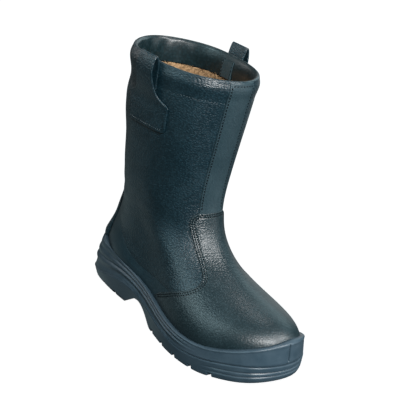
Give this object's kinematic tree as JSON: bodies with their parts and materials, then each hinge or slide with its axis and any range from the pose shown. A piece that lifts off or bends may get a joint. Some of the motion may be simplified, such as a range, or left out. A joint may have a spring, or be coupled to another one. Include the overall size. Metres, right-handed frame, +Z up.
{
  "type": "insulated safety boot",
  "caption": "Pull-on safety boot for the right foot: grained leather shaft with pull loops, fur lining, moulded ribbed sole with a heel block and an open arch.",
  "frame": {"origin": "on the floor under the heel, on the flat of the heel block, in the boot's middle plane", "axes": "+X forward to the toe, +Y to the wearer's left, which is the inner side of this right boot, +Z up"},
  "size_m": [0.3135, 0.1407, 0.301],
  "materials": {
    "leather": "black pebbled leather, satin",
    "smooth_leather": "smooth slate-black coated leather",
    "sole": "moulded slate-black sole, matt to satin",
    "felt": "tan felt and pile"
  },
  "bodies": {
    "root": {"upper": "leather", "vamp": "leather", "front_strip": "smooth_leather", "heel_counter_lateral": "smooth_leather", "heel_counter_medial": "smooth_leather", "back_strap": "leather", "pull_loop_lateral": "leather", "pull_loop_medial": "leather", "midsole": "sole", "outsole": "sole", "insole": "felt"}
  },
  "joints": []
}
